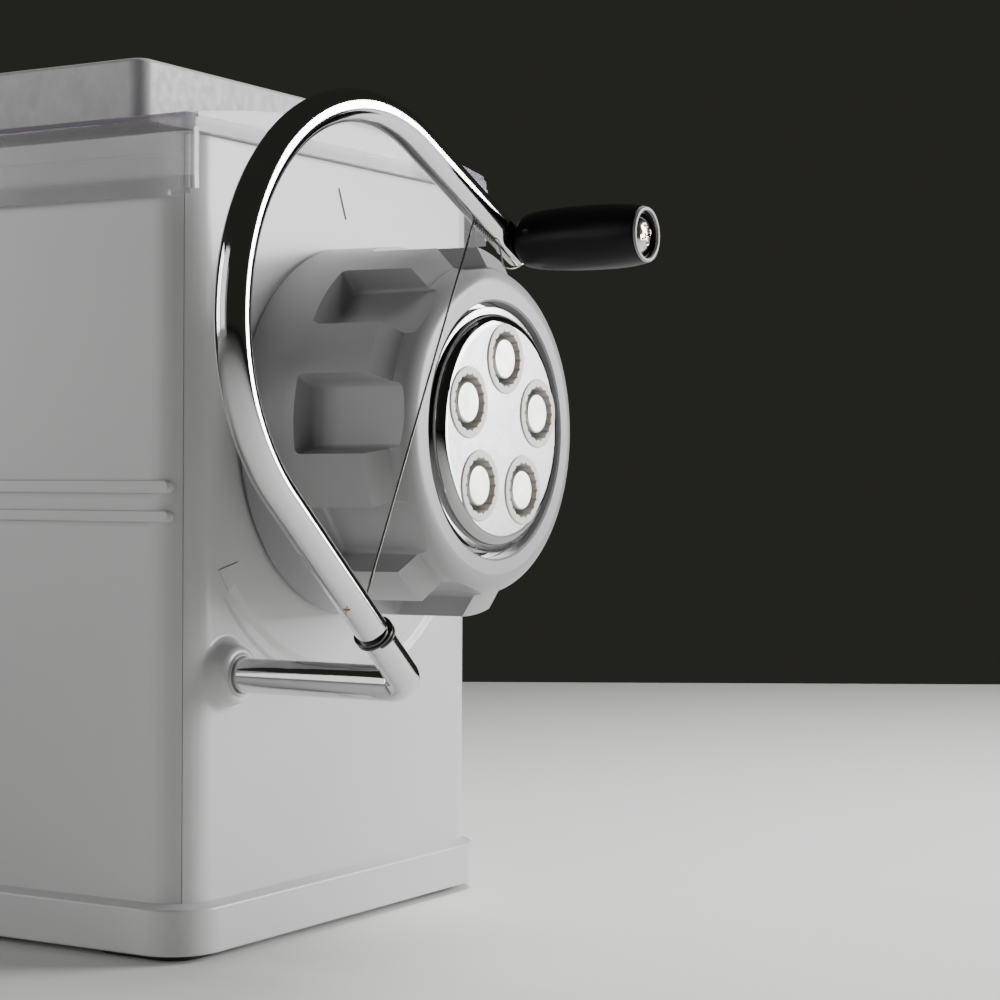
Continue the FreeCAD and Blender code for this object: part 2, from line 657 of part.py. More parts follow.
def plate_bush(x, z, shaft_r, depths, flange_side):
    """Flanged bush pressed into a gearbox plate."""
    sleeve = tube(BUSH_R, shaft_r + RUNNING_FIT, behind(depths[0]), behind(depths[1]), x, z)
    edge = depths[0] - 1.5 if flange_side < 0 else depths[1]
    flange = tube(BUSH_R + 1.5, shaft_r + RUNNING_FIT, behind(edge), behind(edge + 1.5), x, z)
    return fused([sleeve, flange])


def idler_pin():
    pin = cyl(IDLER_PIN_R, behind(PLATE_FRONT[0]), behind(PLATE_REAR[1] + 0.5), IDLER_X, IDLER_Z)
    head = cyl(6.0, behind(PLATE_REAR[1]), behind(PLATE_REAR[1] + 2), IDLER_X, IDLER_Z)
    return fused([pin, head])


def thrust_washer():
    return tube(20.0, AUGER_SHAFT_R + 0.2, behind(100.1), behind(102.6))


# ---- crank -------------------------------------------------------------------------------------
def tangent_point(px, pz, turn):
    """Point where the line from (px, pz) touches the bow; turn picks the side."""
    dx, dz = px - BOW_CENTRE[0], pz - BOW_CENTRE[1]
    dist = math.hypot(dx, dz)
    a = math.atan2(dz, dx) + turn * math.acos(BOW_R / dist)
    return BOW_CENTRE[0] + BOW_R * math.cos(a), BOW_CENTRE[1] + BOW_R * math.sin(a), a


def arm_point(x, z):
    return V(x, ahead(ARM_AHEAD), z)


FOOT_TANGENT = tangent_point(CRANK_X, CRANK_Z, -1)
KNOB_TANGENT = tangent_point(KNOB_X, ARM_END_Z, 1)


def arm_direction(start, end):
    length = math.hypot(end[0] - start[0], end[1] - start[1])
    return (end[0] - start[0]) / length, (end[1] - start[1]) / length


RUN_UP = arm_direction((CRANK_X, CRANK_Z), FOOT_TANGENT)
RUN_DOWN = arm_direction(KNOB_TANGENT, (KNOB_X, ARM_END_Z))


def crank_arm():
    """One bent rod: hexagonal drive end, axle, tight elbow, straight run, bow and run to the knob."""
    start = arm_point(CRANK_X, CRANK_Z)
    foot_p = arm_point(*FOOT_TANGENT[:2])
    knob_p = arm_point(*KNOB_TANGENT[:2])
    past_knob = 3.4
    end = arm_point(KNOB_X + RUN_DOWN[0] * past_knob, ARM_END_Z + RUN_DOWN[1] * past_knob)
    a0 = FOOT_TANGENT[2] % (2 * math.pi)
    a1 = KNOB_TANGENT[2] % (2 * math.pi)
    middle = (a0 + a1) / 2
    top = arm_point(BOW_CENTRE[0] + BOW_R * math.cos(middle), BOW_CENTRE[1] + BOW_R * math.sin(middle))
    path = Part.Wire([Part.makeLine(start, foot_p), Part.Arc(foot_p, top, knob_p).toShape(),
                      Part.makeLine(knob_p, end)])
    ring = Part.Wire([Part.makeCircle(ARM_R, start, V(RUN_UP[0], 0, RUN_UP[1]))])
    rod = path.makePipeShell([ring], True, True)
    elbow = Part.makeSphere(ARM_R + 0.25, start)
    axle = cyl(AXLE_R, ahead(ARM_AHEAD), behind(8.5), CRANK_X, CRANK_Z)
    neck = Part.makeCone(ARM_R + 0.1, AXLE_R, 6.0, V(CRANK_X, ahead(ARM_AHEAD), CRANK_Z), V(0, 1, 0))
    axle = axle.cut(cyl(9, ahead(ARM_AHEAD + 9), ahead(ARM_AHEAD - 6), CRANK_X, CRANK_Z)).fuse(neck)
    drive = hexagon(7.9, behind(8.4), behind(30), CRANK_X, CRANK_Z)
    tip = Part.makeSphere(ARM_R, end)
    shape = fused([rod, elbow, axle, drive, tip])
    seat = cyl(8.0, ahead(59.2), ahead(70), KNOB_X, KNOB_Z)
    hole = cyl(2.05, ahead(50), ahead(60), KNOB_X, KNOB_Z)
    return shape.cut(seat).cut(hole)


def crank_bush():
    """Collar on the front panel that the crank's axle runs in."""
    bore_r = AXLE_R + RUNNING_FIT
    return turned([(bore_r + 0.4, ahead(5.7)), (COLLAR_R - 0.3, ahead(5.7)), (COLLAR_R, ahead(5.4)),
                   (COLLAR_R, behind(3.3)), (7.2, behind(3.3)), (7.2, behind(5)), (bore_r, behind(5)),
                   (bore_r, ahead(5.2))], CRANK_X, CRANK_Z)


def arm_ring():
    """Clamp ring round the arm, just above the elbow."""
    at = 20.5
    centre = arm_point(CRANK_X + RUN_UP[0] * at, CRANK_Z + RUN_UP[1] * at)
    axis = V(RUN_UP[0], 0, RUN_UP[1])
    band = Part.makeCylinder(ARM_R + 0.9, 2.4, centre, axis)
    band = band.makeFillet(0.5, [e for e in band.Edges if e.Length > 20 and len(e.Vertexes) == 1])
    return band.cut(Part.makeCylinder(ARM_R, 10, centre - axis * 3, axis))


WIRE_R = 0.3
WIRE_LOW = 31.5
WIRE_HIGH = 21.0


def wire_turns(centre, axis, count):
    """Touching turns of wire round the arm."""
    turns = []
    for k in range(count):
        at = centre + axis * (k * 1.9 * WIRE_R)
        turns.append(Part.makeTorus(ARM_R + WIRE_R, WIRE_R, at, axis))
    return turns


def cutter_wire():
    """Taut steel wire across the bow, with its ends wound round the arm."""
    low = arm_point(CRANK_X + RUN_UP[0] * WIRE_LOW, CRANK_Z + RUN_UP[1] * WIRE_LOW)
    high = arm_point(KNOB_X - RUN_DOWN[0] * WIRE_HIGH, ARM_END_Z - RUN_DOWN[1] * WIRE_HIGH)
    side = ARM_R + WIRE_R
    low_edge = low + V(RUN_UP[1], 0, -RUN_UP[0]) * side
    high_edge = high + V(RUN_DOWN[1], 0, -RUN_DOWN[0]) * side
    span = high_edge - low_edge
    wire = Part.makeCylinder(WIRE_R, span.Length, low_edge, span)
    turns = wire_turns(low, V(RUN_UP[0], 0, RUN_UP[1]), 2)
    turns += wire_turns(high, V(RUN_DOWN[0], 0, RUN_DOWN[1]), 2)
    return fused([wire] + turns)


# ---- knob --------------------------------------------------------------------------------------
SPINDLE_R = 3.0
KNOB_BACK = 59.5
KNOB_TIP = 97.4


def knob_grip():
    """Barrel-shaped grip, bored for its spindle and recessed at the tip for the screw."""
    profile = [(SPINDLE_R + 0.08, KNOB_BACK), (5.4, KNOB_BACK), (6.9, KNOB_BACK + 1.4), (7.9, KNOB_BACK + 6),
               (8.45, KNOB_BACK + 12), (8.6, KNOB_BACK + 18), (8.55, KNOB_BACK + 26),
               (8.3, KNOB_BACK + 32), (7.5, KNOB_TIP - 0.8), (6.2, KNOB_TIP - 0.8), (6.2, KNOB_TIP - 4.5),
               (SPINDLE_R + 0.08, KNOB_TIP - 4.5)]
    return turned([(r, ahead(s)) for r, s in profile], KNOB_X, KNOB_Z)


def knob_end_ring():
    profile = [(5.5, KNOB_TIP - 4.5), (6.2, KNOB_TIP - 4.5), (6.2, KNOB_TIP - 0.8), (7.4, KNOB_TIP - 0.8),
               (7.25, KNOB_TIP - 0.2), (7.0, KNOB_TIP), (5.8, KNOB_TIP), (5.5, KNOB_TIP - 0.3)]
    return turned([(r, ahead(s)) for r, s in profile], KNOB_X, KNOB_Z)


def knob_spindle():
    """Steel sleeve that the grip turns on, clamped between the arm and the screw head."""
    return tube(SPINDLE_R, 2.05, ahead(59.2), ahead(KNOB_TIP - 4.0), KNOB_X, KNOB_Z)


def knob_screw():
    """Domed cross-head screw through the spindle, riveted over behind the arm."""
    head_back = KNOB_TIP - 4.0
    shank = cyl(2.0, ahead(53.0), ahead(head_back + 0.5), KNOB_X, KNOB_Z)
    dome_r = 7.2
    head = Part.makeSphere(dome_r, V(KNOB_X, ahead(head_back + 3.2 - dome_r), KNOB_Z))
    head = head.common(cyl(4.85, ahead(head_back), ahead(head_back + 4), KNOB_X, KNOB_Z))
    cross = []
    y0, y1 = ahead(head_back + 4), ahead(head_back + 1.6)
    for w, h in ((2.6, 0.55), (0.55, 2.6)):
        cross.append(box(KNOB_X - w, KNOB_X + w, y0, y1, KNOB_Z - h, KNOB_Z + h))
    tail = cyl(3.2, ahead(53.25), ahead(52.6), KNOB_X, KNOB_Z)
    return fused([shank, head, tail]).cut(fused(cross))


# ---- hopper ------------------------------------------------------------------------------------
TRAY_OUT = 2.9
TRAY_DECK = 218.0
TRAY_T = 2.4
TRAY_CORNER = 3.4
DISH_FLOOR = 205.5
SKIRT_BOTTOM = 196.8
LIP_RISE = 6.2
LID_INSET = 5.0
LID_SETBACK = 18.9
LID_CORNER = 4.5
LID_WALL = 2.4


def arched_lip(y0, y1):
    """Upright lip whose top edge rises in a shallow arch."""
    half = BODY_WIDTH / 2 + TRAY_OUT - 4
    low = BODY_TOP + 0.2
    left, right = V(-half, y0, TRAY_DECK), V(half, y0, TRAY_DECK)
    top = Part.Arc(left, V(0, y0, TRAY_DECK + LIP_RISE), right).toShape()
    wire = Part.Wire([top, Part.makeLine(right, V(half, y0, low)), Part.makeLine(V(half, y0, low),
                      V(-half, y0, low)), Part.makeLine(V(-half, y0, low), left)])
    return Part.Face(wire).extrude(V(0, y1 - y0, 0))


def hopper_tray():
    """Clear tray: skirt over the housing, arched lips, sunken dish and a chute into the barrel."""
    width, depth = BODY_WIDTH + 2 * TRAY_OUT, BODY_DEPTH + 2 * TRAY_OUT
    gap = 0.3
    outer = rounded_box(width, depth, SKIRT_BOTTOM, TRAY_DECK, TRAY_CORNER)
    outer = outer.makeFillet(2.2, edges_at(outer, level_at(TRAY_DECK)))
    for z in (201.6, 207.2):
        band = rounded_box(width + 4, depth + 4, z - 0.4, z + 0.4, TRAY_CORNER)
        outer = outer.cut(band.cut(rounded_box(width - 1.2, depth - 1.2, z - 1, z + 1, TRAY_CORNER - 0.6)))
    under = rounded_box(BODY_WIDTH + 2 * gap, BODY_DEPTH + 2 * gap, SKIRT_BOTTOM - 1, BODY_TOP + 0.2,
                        TRAY_CORNER - TRAY_T + 0.2)
    leg = BODY_WIDTH / 2 - 1
    window = box(-leg, leg, -150, 150, SKIRT_BOTTOM - 1, BODY_TOP + 0.2)
    window = window.cut(box(-100, 100, -(BODY_DEPTH / 2 - 5), BODY_DEPTH / 2 - 5, 0, 300))
    notch = box(-leg - 2.4, leg + 2.4, -150, 150, SKIRT_BOTTOM - 1, SKIRT_BOTTOM + 1.4)
    notch = notch.cut(box(-100, 100, -(BODY_DEPTH / 2 - 5), BODY_DEPTH / 2 - 5, 0, 300))
    shell = outer.cut(under).cut(window).cut(notch)
    beads = []
    for y in (ahead(TRAY_OUT + 0.35), -ahead(TRAY_OUT)):
        for bead in mirrored_pair(box(-leg - 1.7, -leg, y, y + 0.35, SKIRT_BOTTOM + 1.4, BODY_TOP + 1)):
            beads.append(bead)
    dish_w, dish_d = BODY_WIDTH - 26, BODY_DEPTH - 2 * LID_SETBACK - 14
    shell = shell.cut(rounded_box(dish_w, dish_d, BODY_TOP - 2, TRAY_DECK + 1, 8.0))
    wall = rounded_box(dish_w + 2 * TRAY_T, dish_d + 2 * TRAY_T, DISH_FLOOR - TRAY_T, TRAY_DECK - 0.5,
                       8.0 + TRAY_T)
    wall = wall.cut(rounded_box(dish_w, dish_d, DISH_FLOOR, TRAY_DECK + 1, 8.0))
    chute_x, chute_y = THROAT_X_SIZE - 0.8, THROAT_Y_SIZE - 0.8
    chute = rounded_box(chute_x, chute_y, 182.0, DISH_FLOOR, 2.2, THROAT_Y)
    hollow = rounded_box(chute_x - 4, chute_y - 4, 176.0, DISH_FLOOR + 1, 1.5, THROAT_Y)
    front = arched_lip(ahead(TRAY_OUT), ahead(TRAY_OUT - 2.6))
    rear = arched_lip(-ahead(TRAY_OUT - 2.6), -ahead(TRAY_OUT))
    rail_w = BODY_WIDTH - 2 * (LID_INSET + LID_WALL + 0.5)
    rail_d = BODY_DEPTH - 2 * (LID_SETBACK + LID_WALL + 0.5)
    rail = rounded_box(rail_w, rail_d, TRAY_DECK - 1, TRAY_DECK + 3.0, 3.0)
    rail = rail.cut(rounded_box(rail_w - 3, rail_d - 3, TRAY_DECK - 2, TRAY_DECK + 4, 2.0))
    return fused([shell, wall, chute, front, rear, rail] + beads).cut(hollow)


def lid():
    """Hollow lid that drops over a rail on the tray."""
    width, depth = BODY_WIDTH - 2 * LID_INSET, BODY_DEPTH - 2 * LID_SETBACK
    bottom = TRAY_DECK + 0.3
    outer = rounded_box(width, depth, bottom, LID_TOP, LID_CORNER)
    outer = outer.makeFillet(1.2, edges_at(outer, level_at(LID_TOP)))
    inner = rounded_box(width - 2 * LID_WALL, depth - 2 * LID_WALL, bottom - 1, LID_TOP - LID_WALL, 2.1)
    return outer.cut(inner)


# ---- write every piece -------------------------------------------------------------------------
def main():
    os.makedirs("parts", exist_ok=True)
    pieces = {
        "body_shell": body_shell(),
        "front_cover": front_cover(),
        "plinth": plinth(),
        "base_screws": base_screws(),
        "cover_screws": cover_screws(),
        "nose_screws": nose_screws(),
        "barrel": barrel(),
        "die_seal": die_seal(),
        "die_plate": die_plate(),
        "ring_nut": ring_nut(),
        "gearbox_front_plate": gearbox_front_plate(),
        "gearbox_rear_plate": gearbox_rear_plate(),
        "gearbox_pillars": gearbox_pillars(),
        "gearbox_screws": gearbox_screws(),
        "crank_mid_bush": plate_bush(CRANK_X, CRANK_Z, CRANK_SHAFT_R, PLATE_FRONT, -1),
        "crank_rear_bush": plate_bush(CRANK_X, CRANK_Z, CRANK_SHAFT_R, PLATE_REAR, 1),
        "auger_rear_bush": plate_bush(0, DIE_Z, AUGER_SHAFT_R, PLATE_REAR, 1),
        "auger_mid_bush": tube(BUSH_R, AUGER_SHAFT_R + RUNNING_FIT, behind(PLATE_FRONT[0]),
                               behind(PLATE_FRONT[1])),
        "idler_pin": idler_pin(),
        "crank_bush": crank_bush(),
        "crank_arm": crank_arm(),
        "arm_ring": arm_ring(),
        "cutter_wire": cutter_wire(),
        "crank_shaft": crank_shaft(),
        "crank_drive_pin": cross_pin(CRANK_X, CRANK_Z, 18.4),
        "crank_clip": retaining_clip(CRANK_X, CRANK_Z, CRANK_SHAFT_R),
        "knob_spindle": knob_spindle(),
        "knob_screw": knob_screw(),
        "knob_grip": knob_grip(),
        "knob_end_ring": knob_end_ring(),
        "auger": auger(),
        "auger_shaft": auger_shaft(),
        "auger_drive_pin": cross_pin(0, DIE_Z, 21.8),
        "auger_clip": retaining_clip(0, DIE_Z, AUGER_SHAFT_R),
        "thrust_washer": thrust_washer(),
        "hopper_tray": hopper_tray(),
        "lid": lid(),
    }
    pinion_phase, idler_phase, auger_phase = gear_phases()
    pieces["crank_pinion"] = crank_pinion(pinion_phase)
    pieces["idler_gear"] = idler_gear(idler_phase)
    pieces["auger_gear"] = auger_gear(auger_phase)
    for k in range(DIE_HOLES):
        x, z = on_circle(DIE_PITCH_R, DIE_FIRST_ANGLE + 72 * k)
        pieces["die_insert_" + str(k + 1)] = die_insert(x, z)
        pieces["core_pin_" + str(k + 1)] = core_pin(x, z)
    corners = {"front_left": (-1, -1), "front_right": (1, -1), "rear_left": (-1, 1), "rear_right": (1, 1)}
    for name, (side, end) in corners.items():
        pieces["foot_" + name] = foot(side * FOOT_X, end * FOOT_Y)
    for name, shape in pieces.items():
        save(name, shape)


main()
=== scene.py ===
import json
import math

import bmesh
import bpy
from mathutils import Matrix, Vector


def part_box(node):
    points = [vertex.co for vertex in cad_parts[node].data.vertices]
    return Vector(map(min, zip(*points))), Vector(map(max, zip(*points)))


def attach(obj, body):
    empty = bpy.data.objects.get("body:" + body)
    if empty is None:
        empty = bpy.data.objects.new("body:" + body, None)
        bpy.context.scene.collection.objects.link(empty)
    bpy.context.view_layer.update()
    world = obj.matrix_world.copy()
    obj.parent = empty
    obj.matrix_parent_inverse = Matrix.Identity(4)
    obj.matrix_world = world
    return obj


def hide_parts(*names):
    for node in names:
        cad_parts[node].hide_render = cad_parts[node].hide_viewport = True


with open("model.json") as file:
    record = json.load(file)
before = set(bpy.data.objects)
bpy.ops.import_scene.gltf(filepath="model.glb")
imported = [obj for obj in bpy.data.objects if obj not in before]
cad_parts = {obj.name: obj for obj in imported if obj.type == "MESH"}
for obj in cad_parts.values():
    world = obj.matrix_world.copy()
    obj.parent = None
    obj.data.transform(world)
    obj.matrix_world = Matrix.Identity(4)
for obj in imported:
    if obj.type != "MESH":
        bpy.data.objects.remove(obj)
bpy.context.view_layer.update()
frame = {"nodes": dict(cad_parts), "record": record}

# Hand-cranked pasta extruder. Metres, +Z up, front panel facing -Y, origin under the plinth.

MM = 0.001
JOINTS = frame["record"]["behaviour"]["joints"]
JOINT_AT = {j["name"]: Vector(j["pos_m"]) for j in JOINTS if "pos_m" in j}
CRANK_AXIS = JOINT_AT["crank_turn"]
DIE_AXIS = JOINT_AT["auger_turn"]
KNOB_AXIS = JOINT_AT["knob_turn"]
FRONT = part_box("ring_nut")[1].y + 0.8 * MM
FLOOR_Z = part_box("foot_front_left")[0].z


# ---- camera, floor and lights ------------------------------------------------------------------
CAMERA_PLACE = Vector((-0.54378, -0.47390, 0.12209))
CAMERA_YAW = math.radians(30.482)
CAMERA_PITCH = math.radians(-0.342)
CAMERA_ROLL = math.radians(0.277)
CAMERA_LENS = 83.19
SENSOR_WIDTH = 36


def make_camera():
    """Camera at the photograph's viewing angle."""
    ahead = Vector((math.cos(CAMERA_YAW) * math.cos(CAMERA_PITCH),
                    math.sin(CAMERA_YAW) * math.cos(CAMERA_PITCH), math.sin(CAMERA_PITCH)))
    level = Vector((math.sin(CAMERA_YAW), -math.cos(CAMERA_YAW), 0))
    upright = level.cross(ahead)
    right = level * math.cos(CAMERA_ROLL) + upright * math.sin(CAMERA_ROLL)
    up = upright * math.cos(CAMERA_ROLL) - level * math.sin(CAMERA_ROLL)
    data = bpy.data.cameras.new("camera")
    data.lens = CAMERA_LENS
    data.sensor_width = SENSOR_WIDTH
    data.clip_start = 0.01
    data.clip_end = 50
    camera = bpy.data.objects.new("camera", data)
    camera.matrix_world = Matrix.Translation(CAMERA_PLACE) @ Matrix((right, up, -ahead)).transposed().to_4x4()
    bpy.context.collection.objects.link(camera)
    bpy.context.scene.camera = camera


def make_light(name, place, aim, width, height, watts, shines=True):
    """Rectangular soft light; with shines off it lights the object but isn't mirrored in it."""
    data = bpy.data.lights.new(name, "AREA")
    data.shape = "RECTANGLE"
    data.size = width
    data.size_y = height
    data.energy = watts
    light = bpy.data.objects.new(name, data)
    light.location = place
    light.visible_glossy = shines
    light.rotation_euler = (Vector(aim) - Vector(place)).to_track_quat("-Z", "Y").to_euler()
    bpy.context.collection.objects.link(light)


TABLE_REACH = 1.463
TABLE_SIZE = 8.0
BACKDROP = (0.0225, 0.0225, 0.0185)


def make_studio():
    """One strong light from the front right, weak ones from the left, and a dark backdrop."""
    make_light("key", (1.06, -1.15, 0.47), (0, -0.14, 0.13), 0.7, 0.8, 33)
    make_light("overhead", (0.4, -0.25, 0.9), (0.25, -0.25, 0), 0.5, 0.5, 8.5, shines=False)
    make_light("left_rear", (-0.95, 1.3, 0.5), (0, 0, 0.12), 0.8, 0.8, 9)
    make_light("left_side", (-1.3, 0.45, 0.5), (0, 0, 0.12), 0.7, 0.8, 2.2)
    make_light("left_card", (-1.25, 0.8, 0.35), (0, 0, 0.12), 2.2, 1.0, 1.8)
    world = bpy.data.worlds.new("studio")
    world.use_nodes = True
    world.node_tree.nodes["Background"].inputs["Color"].default_value = (*BACKDROP, 1)
    bpy.context.scene.world = world


def make_floor():
    """Pale table top that ends a little way behind the machine."""
    ahead = Vector((math.cos(CAMERA_YAW), math.sin(CAMERA_YAW), 0))
    across = Vector((-ahead.y, ahead.x, 0))
    edge = CAMERA_PLACE + ahead * TABLE_REACH
    corners = [edge + across * TABLE_SIZE, edge - across * TABLE_SIZE]
    corners += [corners[1] - ahead * TABLE_SIZE, corners[0] - ahead * TABLE_SIZE]
    mesh = bpy.data.meshes.new("floor")
    mesh.from_pydata([(c.x, c.y, FLOOR_Z) for c in corners], [], [(0, 1, 2, 3)])
    floor = bpy.data.objects.new("floor", mesh)
    bpy.context.collection.objects.link(floor)
    floor.data.materials.append(floor_paint())


# ---- material helpers --------------------------------------------------------------------------
class Paint:
    """One Principled material and short ways to wire patterns into it."""

    def __init__(self, name, colour, roughness, metallic=0.0, **sockets):
        self.material = bpy.data.materials.new(name)
        self.material.use_nodes = True
        self.tree = self.material.node_tree
        self.shader = self.tree.nodes["Principled BSDF"]
        self.colour = colour
        self.shader.inputs["Base Color"].default_value = (*colour, 1)
        self.shader.inputs["Roughness"].default_value = roughness
        self.shader.inputs["Metallic"].default_value = metallic
        for socket, value in sockets.items():
            self.shader.inputs[socket.replace("_", " ")].default_value = value
        self.where = self.tree.nodes.new("ShaderNodeTexCoord").outputs["Object"]
        self.normal = None

    def node(self, kind, **settings):
        made = self.tree.nodes.new("ShaderNode" + kind)
        for key, value in settings.items():
            setattr(made, key, value)
        return made

    def wire(self, source, socket):
        self.tree.links.new(source, socket)

    def stretched(self, x=1.0, y=1.0, z=1.0, origin=(0, 0, 0)):
        """Object coordinates moved to an origin and scaled along each axis."""
        place = self.node("Mapping")
        place.inputs["Location"].default_value = (-origin[0] * x, -origin[1] * y, -origin[2] * z)
        place.inputs["Scale"].default_value = (x, y, z)
        self.wire(self.where, place.inputs["Vector"])
        return place.outputs["Vector"]

    def noise(self, size, detail=2.0, rough=0.5, where=None, distortion=0.0):
        """Noise with lumps of about size metres."""
        made = self.node("TexNoise")
        made.inputs["Scale"].default_value = 1 / size
        made.inputs["Detail"].default_value = detail
        made.inputs["Roughness"].default_value = rough
        made.inputs["Distortion"].default_value = distortion
        self.wire(where or self.where, made.inputs["Vector"])
        return made.outputs["Fac"]

    def scaled(self, value, low, high, from_low=0.3, from_high=0.7):
        """Value from one range, held at its ends, to another."""
        made = self.node("MapRange")
        made.inputs["From Min"].default_value = from_low
        made.inputs["From Max"].default_value = from_high
        made.inputs["To Min"].default_value = low
        made.inputs["To Max"].default_value = high
        self.wire(value, made.inputs["Value"])
        return made.outputs["Result"]

    def combine(self, operation, a, b):
        """Sum or product of two values, each a number or a socket."""
        made = self.node("Math", operation=operation)
        for socket, value in zip(made.inputs, (a, b)):
            if isinstance(value, (int, float)):
                socket.default_value = value
            else:
                self.wire(value, socket)
        return made.outputs["Value"]

    def tint(self, factor, other, source=None):
        """Blend the base colour towards another one by a factor."""
        made = self.node("Mix", data_type="RGBA")
        if source is None:
            made.inputs["A"].default_value = (*self.colour, 1)
        else:
            self.wire(source, made.inputs["A"])
        made.inputs["B"].default_value = (*other, 1)
        self.wire(factor, made.inputs["Factor"])
        result = [o for o in made.outputs if o.type == "RGBA"][0]
        self.wire(result, self.shader.inputs["Base Color"])
        return result

    def roughness(self, value):
        self.wire(value, self.shader.inputs["Roughness"])

    def bump(self, height, distance):
        """Adds a bump, in metres, on top of the ones before it."""
        made = self.node("Bump")
        made.inputs["Distance"].default_value = distance
        made.inputs["Strength"].default_value = 1.0
        self.wire(height, made.inputs["Height"])
        if self.normal is not None:
            self.wire(self.normal, made.inputs["Normal"])
        self.normal = made.outputs["Normal"]
        self.wire(self.normal, self.shader.inputs["Normal"])

    def radius_about(self, centre):
        """Distance from the line along Y through centre."""
        place = self.stretched(1, 0, 1, (centre[0], 0, centre[2]))
        made = self.node("VectorMath", operation="LENGTH")
        self.wire(place, made.inputs[0])
        return made.outputs["Value"]

    def rings(self, radius, spacing, wander):
        """Fine turned rings from a radius or a place along an axis, wandering a little."""
        made = self.node("Math", operation="SINE")
        turns = self.combine("MULTIPLY", radius, 2 * math.pi / spacing)
        turns = self.combine("ADD", turns, self.combine("MULTIPLY", self.noise(3 * MM), wander))
        self.wire(turns, made.inputs[0])
        return made.outputs["Value"]


def darker(colour, share):
    """Colour scaled down to a share of itself."""
    return tuple(c * share for c in colour)


# ---- materials ---------------------------------------------------------------------------------
# Painted light on the table top: its bright centre, how far it stays bright, and where it has faded into
# painted shade.
FLOOR_PAINTED_LIGHT_CENTRE = (0.1, -0.3, 0.0)
FLOOR_PAINTED_LIGHT_REACH = 0.1
FLOOR_PAINTED_SHADE_REACH = 1.0


def floor_paint():
    """Pale table top with a painted pool of light near the machine that fades softly into painted shade
    towards its far edge.
    """
    p = Paint("floor_paint", (0.95, 0.945, 0.925), 0.5, Specular_IOR_Level=0.0)
    first = p.tint(p.scaled(p.noise(0.35, 3), 0, 1, 0, 1), (0.92, 0.915, 0.9))
    away = p.node("VectorMath", operation="LENGTH")
    p.wire(p.stretched(1, 1, 1, FLOOR_PAINTED_LIGHT_CENTRE), away.inputs[0])
    # Painted shade: the colour darkens with distance from the painted light's centre, in place of the lamps'
    # own fall-off.
    painted_light_falloff = p.scaled(away.outputs["Value"], 0, 1, FLOOR_PAINTED_LIGHT_REACH, FLOOR_PAINTED_SHADE_REACH)
    p.tint(painted_light_falloff, (0.24, 0.238, 0.232), first)
    p.roughness(p.scaled(p.noise(0.02, 3), 0.38, 0.48))
    return p.material


def moulded(name, colour, roughness, grain, grain_depth, peel=0.0, flow=0.06, **sockets):
    """Injection-moulded plastic: slight flow shading, specks, fine grain and, with peel, a soft ripple."""
    p = Paint(name, colour, roughness, **sockets)
    streaks = p.noise(60 * MM, 1, 0.3, p.stretched(1, 1, 0.4))
    specks = p.noise(0.9 * MM, 2)
    first = p.tint(p.scaled(streaks, 0, 1, 0, 1), darker(colour, 1 - flow))
    p.tint(p.scaled(specks, 0, 0.4, 0.62, 0.8), darker(colour, 1 - flow), first)
    handled = p.noise(34 * MM, 2, 0.4)
    p.roughness(p.scaled(handled, roughness * 0.98, roughness * 1.02, 0, 1))
    if peel:
        p.bump(p.noise(2.6 * MM, 2, 0.4), peel)
    p.bump(p.noise(grain, 3, 0.6), grain_depth)
    return p.material


def bright_metal(name, colour, roughness, scratch=0.25 * MM, wave=0.0, spread=1.5):
    """Plated or polished metal with hairline marks, smudges and a trace of waviness."""
    p = Paint(name, colour, roughness, 1.0)
    hair = p.noise(scratch, 3, 0.6, p.stretched(1, 0.06, 1))
    smudge = p.noise(9 * MM, 4, 0.6, None, 0.8)
    p.tint(p.scaled(smudge, 0, 0.6), darker(colour, 0.9))
    level = p.scaled(p.combine("MULTIPLY", smudge, hair), roughness * 0.8, roughness * spread, 0.12, 0.4)
    p.roughness(level)
    if wave:
        p.bump(p.noise(7 * MM, 2, 0.4), wave)
    p.bump(hair, 0.004 * MM)
    return p.material


def turned_metal(name, colour, roughness, centre, spacing, depth, facing=True):
    """Lathe-turned metal: rings about the Y line through centre, or along Y on its sides."""
    p = Paint(name, colour, roughness, 1.0)
    place = p.radius_about(centre)
    if not facing:
        split = p.node("SeparateXYZ")
        p.wire(p.where, split.inputs["Vector"])
        place = split.outputs["Y"]
    wobble = p.noise(0.6 * MM, 3, 0.6)
    rings = p.rings(place, spacing, 0.8)
    smudge = p.noise(8 * MM, 4, 0.6, None, 0.7)
    p.tint(p.scaled(smudge, 0, 1), darker(colour, 0.86))
    p.roughness(p.scaled(p.combine("ADD", smudge, p.combine("MULTIPLY", wobble, 0.4)),
                         roughness * 0.8, roughness * 1.5, 0.45, 0.95))
    p.bump(rings, depth)
    return p.material


SATIN_R = 28.3 * MM
POLISHED_R = 29.0 * MM


def die_paint():
    """Die steel: satin on the face, polished on the rim."""
    p = Paint("die_paint", (0.35, 0.35, 0.35), 0.26, 1.0)
    hair = p.noise(0.3 * MM, 3, 0.6, p.stretched(1, 0.06, 1))
    smudge = p.noise(9 * MM, 4, 0.6, None, 0.8)
    p.tint(p.scaled(smudge, 0, 0.6), (0.31, 0.31, 0.31))
    satin = p.scaled(p.combine("MULTIPLY", smudge, hair), 0.21, 0.32, 0.12, 0.4)
    on_face = p.scaled(p.radius_about(DIE_AXIS), 1, 0.2, SATIN_R, POLISHED_R)
    p.roughness(p.combine("MULTIPLY", satin, on_face))
    p.bump(hair, 0.004 * MM)
    return p.material


